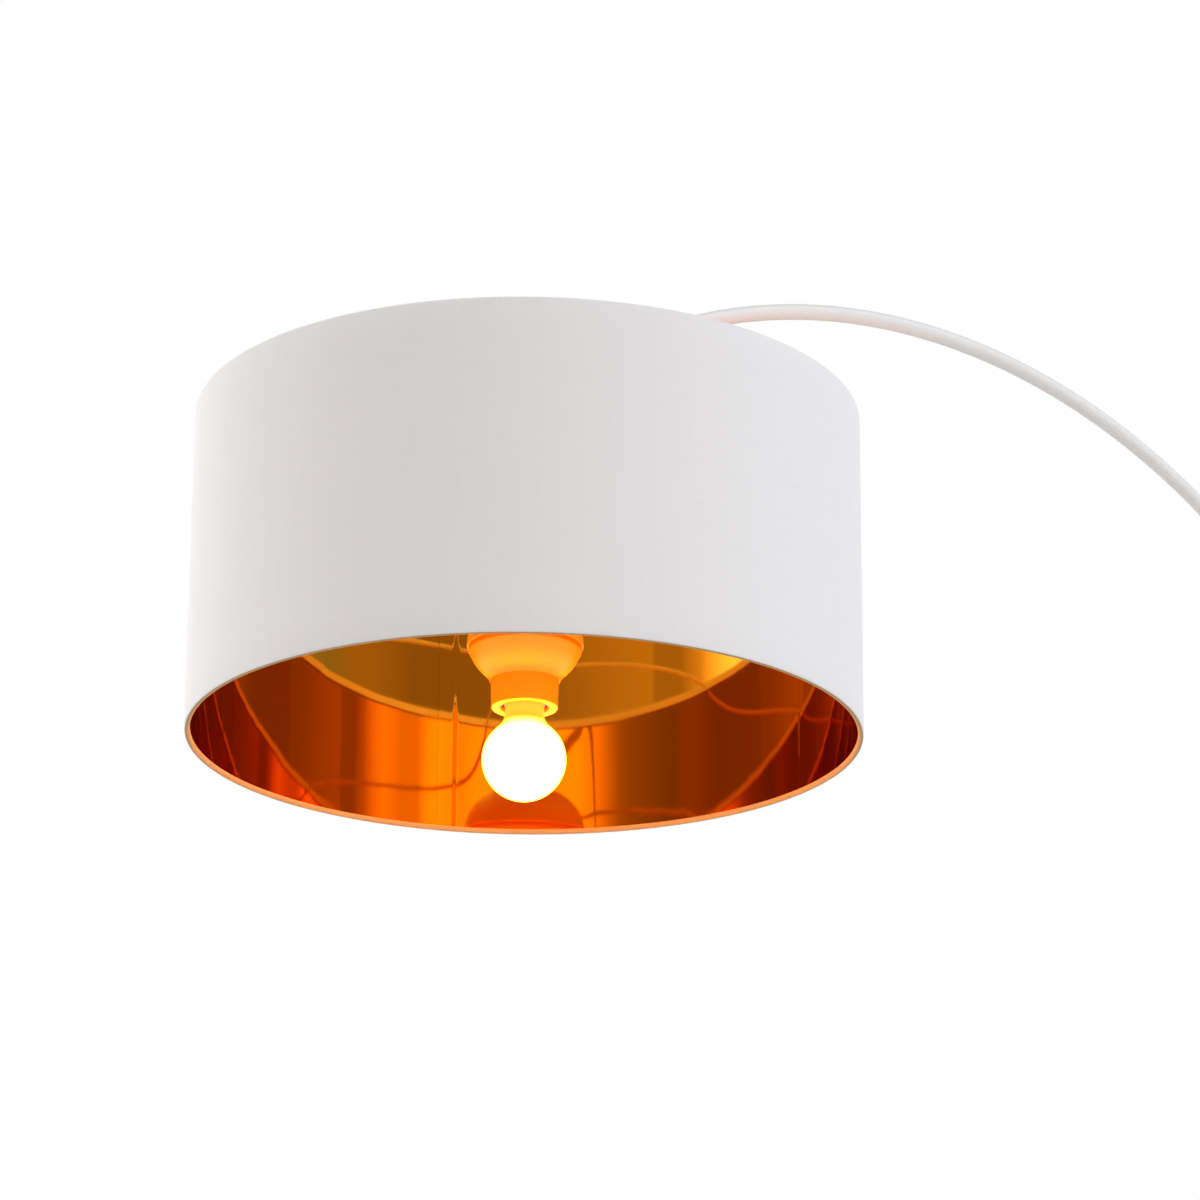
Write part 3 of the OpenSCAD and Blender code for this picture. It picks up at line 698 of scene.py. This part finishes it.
def makeFilmTree():
    tree, given = startTree("copperLining", [
        ("Radius", "Float"), ("Height", "Float"), ("Columns", "Int"), ("Rows", "Int"), ("Lap", "Float"),
        ("Lift", "Float"), ("Ease", "Float"), ("Ripple", "Float"), ("Ripple Length", "Float"),
        ("Crease", "Float"), ("Crease Length", "Float"), ("Seed", "Float"),
        ("Seam Angle", "Float"), ("Centre", "Vector"),
    ])
    grid = addNode(tree, "GeometryNodeMeshGrid", None,
                   {"Size X": 1.0, "Size Y": 1.0,
                    "Vertices X": given["Columns"], "Vertices Y": given["Rows"]})
    spot = addNode(tree, "ShaderNodeSeparateXYZ", None,
                   {0: addNode(tree, "GeometryNodeInputPosition").outputs[0]})
    around = maths(tree, "MULTIPLY", given["Radius"], 2 * math.pi)
    total = maths(tree, "ADD", around, given["Lap"])
    run = maths(tree, "MULTIPLY", maths(tree, "ADD", spot.outputs["X"], 0.5), total)
    angle = maths(tree, "ADD", maths(tree, "DIVIDE", run, given["Radius"]), given["Seam Angle"])
    lapStart = maths(tree, "SUBTRACT", around, given["Ease"])
    lifted = addNode(tree, "ShaderNodeMapRange", {"interpolation_type": "SMOOTHSTEP"}, {
        "Value": run, "From Min": lapStart, "From Max": around, "To Min": 0.0, "To Max": given["Lift"]})
    level = maths(tree, "MULTIPLY", maths(tree, "ADD", spot.outputs["Y"], 0.5), given["Height"])
    cosine, sine = maths(tree, "COSINE", angle), maths(tree, "SINE", angle)
    wall = addNode(tree, "ShaderNodeCombineXYZ", None, {
        "X": maths(tree, "MULTIPLY", cosine, given["Radius"]),
        "Y": maths(tree, "MULTIPLY", sine, given["Radius"]),
        "Z": maths(tree, "MULTIPLY", level, 0.6)})
    waves = []
    for size, seed, detail in (("Ripple", given["Seed"], 1.6),
                               ("Crease", maths(tree, "ADD", given["Seed"], 7.0), 0.0)):
        noise = addNode(tree, "ShaderNodeTexNoise", {"noise_dimensions": "4D"},
                        {"Vector": wall.outputs[0], "W": seed, "Detail": detail,
                         "Scale": maths(tree, "DIVIDE", 1.0, given[size + " Length"])})
        waves.append(maths(tree, "SUBTRACT", noise.outputs["Fac"], 0.5))
    wave = maths(tree, "MULTIPLY", waves[0], given["Ripple"])
    folded = maths(tree, "MULTIPLY_ADD", maths(tree, "ABSOLUTE", waves[1]), given["Crease"], wave)
    pulledIn = maths(tree, "SUBTRACT", given["Radius"], lifted.outputs["Result"])
    reach = maths(tree, "SUBTRACT", pulledIn, folded)
    place = addNode(tree, "ShaderNodeCombineXYZ", None, {
        "X": maths(tree, "MULTIPLY", cosine, reach), "Y": maths(tree, "MULTIPLY", sine, reach), "Z": level})
    centred = addNode(tree, "ShaderNodeVectorMath", {"operation": "ADD"},
                      {0: place.outputs[0], 1: given["Centre"]})
    bent = addNode(tree, "GeometryNodeSetPosition", None,
                   {"Geometry": grid.outputs["Mesh"], "Position": centred.outputs[0]})
    endTree(tree, given, bent.outputs[0])
    return tree


def makeFilm():
    low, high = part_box("shade_liner")
    radius = (high.x - low.x) / 2 - 0.5 * mm
    lining = runTree(makeFilmTree(), "copperLining", {
        "Radius": radius, "Height": high.z - low.z, "Columns": film["columns"], "Rows": film["rows"],
        "Lap": shade["lapMm"] * mm, "Lift": film["liftMm"] * mm, "Ease": film["easeMm"] * mm,
        "Ripple": film["rippleMm"] * mm, "Ripple Length": film["rippleLengthMm"] * mm,
        "Crease": film["creaseMm"] * mm, "Crease Length": film["creaseLengthMm"] * mm, "Seed": film["seed"],
        "Seam Angle": math.radians(shade["seamDegrees"]), "Centre": (shadeAxis.x, shadeAxis.y, low.z),
        "Material": materials["film"],
    }, 80)
    work = bmesh.new()
    work.from_mesh(lining.data)
    if work.faces[:][0].normal.dot(work.faces[:][0].calc_center_median() - shadeAxis) > 0:
        bmesh.ops.reverse_faces(work, faces=work.faces)  # the mirror side faces the bulb
    work.to_mesh(lining.data)
    work.free()
    lining.name = "copperLiningSheet"
    thick = lining.modifiers.new("thickness", "SOLIDIFY")
    thick.thickness = film["thickMm"] * mm
    thick.offset = -1
    lining = asPlainMesh(lining, "copperLining")
    shadeByAngle(lining.data)
    standIn(lining, "head", "copper_film", "shade_liner")


clothWidth, clothLength = makeShadeCloth()
makeFilm()
print("shade made: cloth", round(clothWidth, 4), "by", round(clothLength, 4), "m")


# ---- spider: hub, three wire arms and their welds

spider = {"arms": 3, "firstDegrees": 15.5, "armMm": 1.5, "weldMm": 2.1}


def makeSpiderTree():
    tree, given = startTree("wireSpokes", [
        ("Count", "Int"), ("Inner", "Float"), ("Outer", "Float"), ("Low", "Float"), ("High", "Float"),
        ("Thickness", "Float"), ("Weld", "Float"), ("First Angle", "Float"), ("Centre", "Vector"),
    ])
    start = addNode(tree, "ShaderNodeCombineXYZ", None, {"X": given["Inner"], "Z": given["Low"]})
    end = addNode(tree, "ShaderNodeCombineXYZ", None, {"X": given["Outer"], "Z": given["High"]})
    line = addNode(tree, "GeometryNodeCurvePrimitiveLine", None,
                   {"Start": start.outputs[0], "End": end.outputs[0]})
    section = addNode(tree, "GeometryNodeCurvePrimitiveCircle", None,
                      {"Resolution": 20, "Radius": given["Thickness"]})
    wire = addNode(tree, "GeometryNodeCurveToMesh", None,
                   {"Curve": line.outputs[0], "Profile Curve": section.outputs[0], "Fill Caps": True})
    bead = addNode(tree, "GeometryNodeMeshUVSphere", None,
                   {"Segments": 20, "Rings": 12, "Radius": given["Weld"]})
    welds = addNode(tree, "GeometryNodeInstanceOnPoints", None,
                    {"Points": line.outputs[0], "Instance": bead.outputs["Mesh"], "Scale": (1.3, 0.9, 0.75)})
    spoke = addNode(tree, "GeometryNodeJoinGeometry")
    for part in (wire.outputs[0], welds.outputs[0]):
        tree.links.new(part, spoke.inputs[0])
    points = addNode(tree, "GeometryNodePoints", None, {"Count": given["Count"], "Position": given["Centre"]})
    index = addNode(tree, "GeometryNodeInputIndex").outputs[0]
    step = maths(tree, "DIVIDE", 2 * math.pi, given["Count"])
    turn = maths(tree, "MULTIPLY_ADD", index, step, given["First Angle"])
    rotation = addNode(tree, "ShaderNodeCombineXYZ", None, {"Z": turn})
    placed = addNode(tree, "GeometryNodeInstanceOnPoints", None,
                     {"Points": points.outputs[0], "Instance": spoke.outputs[0],
                      "Rotation": rotation.outputs[0]})
    endTree(tree, given, placed.outputs[0])
    return tree


def makeSpider():
    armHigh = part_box("spider_arms")[1]
    hubLow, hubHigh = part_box("spider_hub")
    arms = runTree(makeSpiderTree(), "spiderArms", {
        "Count": spider["arms"],
        "Inner": (hubHigh.x - hubLow.x) / 2 - 1.5 * mm, "Outer": shadeRadius - 3.6 * mm,
        "Low": (hubLow.z + hubHigh.z) / 2, "High": armHigh.z - spider["armMm"] * mm,
        "Thickness": spider["armMm"] * mm, "Weld": spider["weldMm"] * mm,
        "First Angle": math.radians(spider["firstDegrees"]), "Centre": shadeAxis,
        "Material": materials["enamel"],
    })
    standIn(arms, "head", "white_enamel", "spider_arms")
    hub = softenedCopy("spiderHub", "spider_hub", materials["enamel"], 0.5)
    standIn(hub, "head", "white_enamel", "spider_hub")


makeSpider()
print("spider made")


# ---- lampholder and bulb

holder = {
    # the shade ring's flared bowl, from the lower edge of the shade, as (radius, height)
    "bowlMm": [(20.8, 36.8), (21.1, 37.6), (21.8, 39.0), (22.9, 40.5), (24.5, 42.1), (26.5, 43.9),
               (28.5, 46.1), (30.3, 48.7), (31.8, 51.5), (33.0, 53.8)],
    "domeMm": (34.7, 32.2),  # the cap's radius and the height of its dome
    "wallMm": (1.6, 1.3),    # the cap's wall at its side and at its crown
}


def makeHolder():
    # outlines in millimetres from the lower edge of the shade, as (radius, height, rounding)
    centre, foot = (shadeAxis.x, shadeAxis.y), shadeLow.z
    mouth = (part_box("holder_body")[0].z - foot) / mm
    body = [
        (14.2, mouth + 0.6, 0.5), (18.6, mouth, 1.0), (19.7, mouth + 0.6, 0.8), (20.2, 38, 0.6),
        (20.2, 56, 0.3), (31, 56, 0.5), (31, 57.7, 0.5), (22, 57.7, 0.3), (22, 79.8, 0.4), (20.3, 79.8, 0.4),
        (20.3, 60, 0.3), (18.2, 56, 0.3), (17.4, 24, 0.5), (14.2, 22, 0.4),
    ]
    ring = ([(20.45, 36.4, 0.3)] + [(*point, 0) for point in holder["bowlMm"]]
            + [(33.9, 55.5, 0.5), (31.9, 55.5, 0.4), (30.6, 52.4, 0.6), (25.2, 50.2, 0.8),
               (22.8, 46, 0.4), (20.45, 44, 0.3)])
    cupLow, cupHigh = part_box("holder_cup")
    rim, crown = (cupLow.z - foot) / mm, (cupHigh.z - foot) / mm
    across, rise = holder["domeMm"]
    dome = [(across * math.cos(a), rim + 1 + rise * math.sin(a), 0)
            for a in (math.radians(4 + 71 * step / 16) for step in range(17))]
    side, top = holder["wallMm"]
    inside = [(r - side, z - top, 0) for r, z, _ in reversed(dome)]
    collar = [(8.9, crown - 1.5, 0.6), (8.9, crown, 0.8), (5.2, crown, 0.4), (5.2, crown - 8, 0)]
    cup = [(34.8, rim, 0.4)] + dome + collar + inside + [(33.2, rim, 0.4)]
    for name, corners, node in (("lampholderBody", body, "holder_body"),
                                ("lampholderRing", ring, "holder_ring"),
                                ("lampholderCap", cup, "holder_cup")):
        outline = [(r * mm, foot + z * mm) for r, z in roundedOutline(corners)]
        piece = turnedMesh(name, outline, materials["holder"], centre)
        standIn(piece, "head", "white_holder_plastic", node)


bulb = {"wallMm": 0.8, "neckMm": 11.5, "shoulderMm": 14}


def bulbOutline(insetMm):
    # ball, shoulder and neck as two arcs and a line, in millimetres from the ball's middle
    low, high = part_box("bulb_glass")
    ball = (high.x - low.x) / 2 / mm - insetMm
    neck, shoulder = bulb["neckMm"] - insetMm, bulb["shoulderMm"] + insetMm
    rise = math.sqrt((ball + shoulder) ** 2 - (neck + shoulder) ** 2)
    meet = math.atan2(rise, neck + shoulder)
    steps = 40
    points = [(ball * math.cos(a), ball * math.sin(a))
              for a in (-math.pi / 2 + (meet + math.pi / 2) * step / steps for step in range(steps + 1))]
    points[0] = (0.0, -ball)
    for step in range(1, 13):
        a = math.pi + meet - meet * step / 12
        points.append((neck + shoulder + shoulder * math.cos(a), rise + shoulder * math.sin(a)))
    return points


def makeBulb():
    low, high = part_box("bulb_glass")
    middle = low.z + (high.x - low.x) / 2
    outer, inner = bulbOutline(0), bulbOutline(bulb["wallMm"])
    top = high.z - middle
    outline = ([(r * mm, z * mm) for r, z in outer] + [(bulb["neckMm"] * mm, top)]
               + [((bulb["neckMm"] - bulb["wallMm"]) * mm, top)]
               + [(r * mm, z * mm) for r, z in reversed(inner)])
    outline = [(r, middle + z) for r, z in outline]
    globe = turnedMesh("bulbGlobe", outline, materials["opal"], (shadeAxis.x, shadeAxis.y), 96)
    standIn(globe, "bulb", "opal_glass", "bulb_glass")


makeHolder()
makeBulb()
print("lampholder and bulb made")


# ---- arm: two bent tubes on one path

arm = {"bendMm": 450, "splitDegrees": 45, "sides": 40, "stepMm": 4}


def makeTubeTree():
    # a straight foot along +Z that runs into a bend towards -X, cut out between two distances
    tree, given = startTree("bentTube", [
        ("From", "Float"), ("To", "Float"), ("Straight", "Float"), ("Bend Radius", "Float"),
        ("Tube Radius", "Float"), ("Foot Height", "Float"), ("Points", "Int"), ("Sides", "Int"),
    ])
    start = addNode(tree, "ShaderNodeCombineXYZ", None, {"Z": given["From"]})
    end = addNode(tree, "ShaderNodeCombineXYZ", None, {"Z": given["To"]})
    line = addNode(tree, "GeometryNodeCurvePrimitiveLine", None,
                   {"Start": start.outputs[0], "End": end.outputs[0]})
    points = addNode(tree, "GeometryNodeResampleCurve", None,
                     {"Curve": line.outputs[0], "Count": given["Points"]})
    run = addNode(tree, "ShaderNodeSeparateXYZ", None,
                  {0: addNode(tree, "GeometryNodeInputPosition").outputs[0]}).outputs["Z"]
    upright = maths(tree, "MINIMUM", run, given["Straight"])
    past = maths(tree, "MAXIMUM", maths(tree, "SUBTRACT", run, given["Straight"]), 0.0)
    angle = maths(tree, "DIVIDE", past, given["Bend Radius"])
    turnedBack = maths(tree, "SUBTRACT", maths(tree, "COSINE", angle), 1.0)
    across = maths(tree, "MULTIPLY", turnedBack, given["Bend Radius"])
    rise = maths(tree, "MULTIPLY_ADD", maths(tree, "SINE", angle), given["Bend Radius"], upright)
    place = addNode(tree, "ShaderNodeCombineXYZ", None,
                    {"X": across, "Z": maths(tree, "ADD", rise, given["Foot Height"])})
    bent = addNode(tree, "GeometryNodeSetPosition", None,
                   {"Geometry": points.outputs[0], "Position": place.outputs[0]})
    section = addNode(tree, "GeometryNodeCurvePrimitiveCircle", None,
                      {"Resolution": given["Sides"], "Radius": given["Tube Radius"]})
    tube = addNode(tree, "GeometryNodeCurveToMesh", None,
                   {"Curve": bent.outputs[0], "Profile Curve": section.outputs[0], "Fill Caps": True})
    endTree(tree, given, tube.outputs[0])
    return tree


def makeArm():
    lowerLow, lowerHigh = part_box("lower_arm")
    upperLow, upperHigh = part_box("upper_arm")
    tubeRadius = (lowerHigh.y - lowerLow.y) / 2
    bend = arm["bendMm"] * mm
    straight = upperHigh.z - bend - tubeRadius - lowerLow.z
    split = straight + bend * math.radians(arm["splitDegrees"])
    end = straight + bend * math.acos((upperLow.x + bend) / (bend + tubeRadius))
    tree = makeTubeTree()
    gap = 0.05 * mm  # the hairline where the two tubes meet
    for name, node, start, stop in (("lowerArmTube", "lower_arm", 0.0, split - gap),
                                    ("upperArmTube", "upper_arm", split + gap, end)):
        tube = runTree(tree, name, {
            "From": start, "To": stop, "Straight": straight, "Bend Radius": bend, "Tube Radius": tubeRadius,
            "Foot Height": lowerLow.z, "Points": round((stop - start) / (arm["stepMm"] * mm)),
            "Sides": arm["sides"], "Material": materials["enamel"],
        })
        standIn(tube, "arm", "white_enamel", node)


makeArm()
print("arm made")


# ---- pole and base

pole = {"wallMm": 1.2, "easedMm": 0.35}
base = {"shoulderMm": 9, "wallMm": 1.2, "hemMm": 0.54, "holeMm": 5.2}


def makePole():
    for name, node in (("lowerPoleTube", "lower_pole"), ("middlePoleTube", "middle_pole"),
                       ("upperPoleTube", "upper_pole")):
        low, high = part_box(node)
        outer, eased = (high.x - low.x) / 2, pole["easedMm"] * mm
        bore = outer - pole["wallMm"] * mm
        corners = [(bore, low.z, 0), (outer, low.z, eased), (outer, high.z, eased), (bore, high.z, 0)]
        tube = turnedMesh(name, roundedOutline(corners), materials["enamel"], segments=64)
        standIn(tube, "base", "white_enamel", node)


def makeBase():
    low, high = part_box("base_cover")
    outer = (high.x - low.x) / 2
    shoulder, wall, hem, hole = (base[key] * mm for key in ("shoulderMm", "wallMm", "hemMm", "holeMm"))
    corners = [
        (hole, high.z, 0), (hole, high.z - wall, 0), (outer - wall, high.z - wall, shoulder - wall),
        (outer - wall, low.z, hem), (outer, low.z, hem), (outer, high.z, shoulder),
    ]
    cover = turnedMesh("baseCover", roundedOutline(corners, 10), materials["enamel"], segments=192)
    standIn(cover, "base", "white_enamel", "base_cover")


makePole()
makeBase()
print("pole and base made")


# ---- fittings that keep their CAD shape, with eased edges

fittings = [
    # name, CAD node, material, body, slot, easing in mm
    ("baseFlange", "base_collar", "enamel", "base", "white_enamel", 0.4),
    ("basePadDisc", "base_pad", "rubber", "base", "black_rubber", 0.5),
    ("inletGland", "cable_gland", "nylon", "base", "nylon_fittings", 0.5),
    ("swivelCollar", "arm_collar", "enamel", "base", "white_enamel", 0.4),
    ("swivelThumbscrew", "swivel_thumbscrew", "nickel", "thumbscrew", "nickel_plate", 0.4),
    ("armStopRing", "stop_ring", "enamel", "arm", "white_enamel", 0.3),
    ("knuckleUpperHalf", "knuckle_upper", "knuckle", "arm", "knuckle_enamel", 0.5),
    ("knuckleLowerHalf", "knuckle_lower", "knuckle", "head", "knuckle_enamel", 0.5),
    ("knuckleScrewHead", "knuckle_screw", "nickel", "arm", "nickel_plate", 0.25),
    ("tiltKnobBody", "tilt_knob", "nickel", "knob", "nickel_plate", 0.35),
    ("stemSleeveTube", "stem_sleeve", "enamel", "head", "white_enamel", 0.3),
    ("hubNutHex", "hub_nut", "zinc", "head", "zinc_plated_steel", 0.35),
    ("hubWasherDisc", "hub_washer", "zinc", "head", "zinc_plated_steel", 0.2),
]
for name, node, material, body, slot, easing in fittings:
    standIn(softenedCopy(name, node, materials[material], easing), body, slot, node)


knurls = [
    # name, CAD node, body, ridges, length and place in from the knob's face in mm
    ("thumbscrewGrip", "swivel_thumbscrew", "thumbscrew", 36, 7.0, 4.5),
    ("tiltKnobGrip", "tilt_knob", "knob", 30, 5.4, 3.5),
]
ridgeMm = 0.55


def makeKnurlTree():
    # rounded ridges side by side round a knob whose axis is +Z
    tree, given = startTree("knurledGrip", [
        ("Count", "Int"), ("Radius", "Float"), ("Length", "Float"), ("Ridge", "Float"),
    ])
    circle = addNode(tree, "GeometryNodeMeshCircle", None,
                     {"Vertices": given["Count"], "Radius": given["Radius"]})
    ridge = addNode(tree, "GeometryNodeMeshUVSphere", None, {"Segments": 8, "Rings": 7, "Radius": 1.0})
    size = addNode(tree, "ShaderNodeCombineXYZ", None,
                   {"X": given["Ridge"], "Y": given["Ridge"],
                    "Z": maths(tree, "DIVIDE", given["Length"], 2.0)})
    placed = addNode(tree, "GeometryNodeInstanceOnPoints", None,
                     {"Points": circle.outputs[0], "Instance": ridge.outputs["Mesh"],
                      "Scale": size.outputs[0]})
    endTree(tree, given, placed.outputs[0])
    return tree


def makeKnurls():
    tree = makeKnurlTree()
    for name, node, body, count, lengthMm, inMm in knurls:
        low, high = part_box(node)
        middle = (low + high) / 2
        if body == "thumbscrew":  # its axis is along X, the tilt knob's along Y
            spot, axis = (high.x - inMm * mm, middle.y, middle.z), "Y"
        else:
            spot, axis = (middle.x, high.y - inMm * mm, middle.z), "X"
        grip = runTree(tree, name, {
            "Count": count, "Radius": (high.z - low.z) / 2 - 0.2 * mm, "Length": lengthMm * mm,
            "Ridge": ridgeMm * mm, "Material": materials["nickel"],
        })
        grip.data.transform(Matrix.Translation(spot) @ Matrix.Rotation(math.pi / 2, 4, axis))
        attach(grip, body)


makeKnurls()
print("fittings made")


# ---- the CAD nodes that stay as they are, mostly out of sight inside

finishes = {
    "white_enamel": "enamel", "zinc_plated_steel": "zinc", "black_oxide_screws": "oxide",
    "knuckle_enamel": "knuckle",
    "nickel_plate": "nickel", "brass_tube": "brass", "cast_iron_weight": "iron", "black_rubber": "rubber",
    "white_pvc_cable": "cable", "nylon_fittings": "nylon", "white_fabric": "cloth", "copper_film": "film",
    "white_holder_plastic": "holder", "porcelain": "porcelain", "opal_glass": "opal", "clear_glass": "clear",
    "aluminium_cap": "aluminium", "black_cap_glass": "blackGlass", "solder": "solder", "tungsten": "tungsten",
}
for part in frame["record"]["subparts"]:
    setMaterial(frame["nodes"][part["node"]], materials[finishes[part["material_slot"]]])
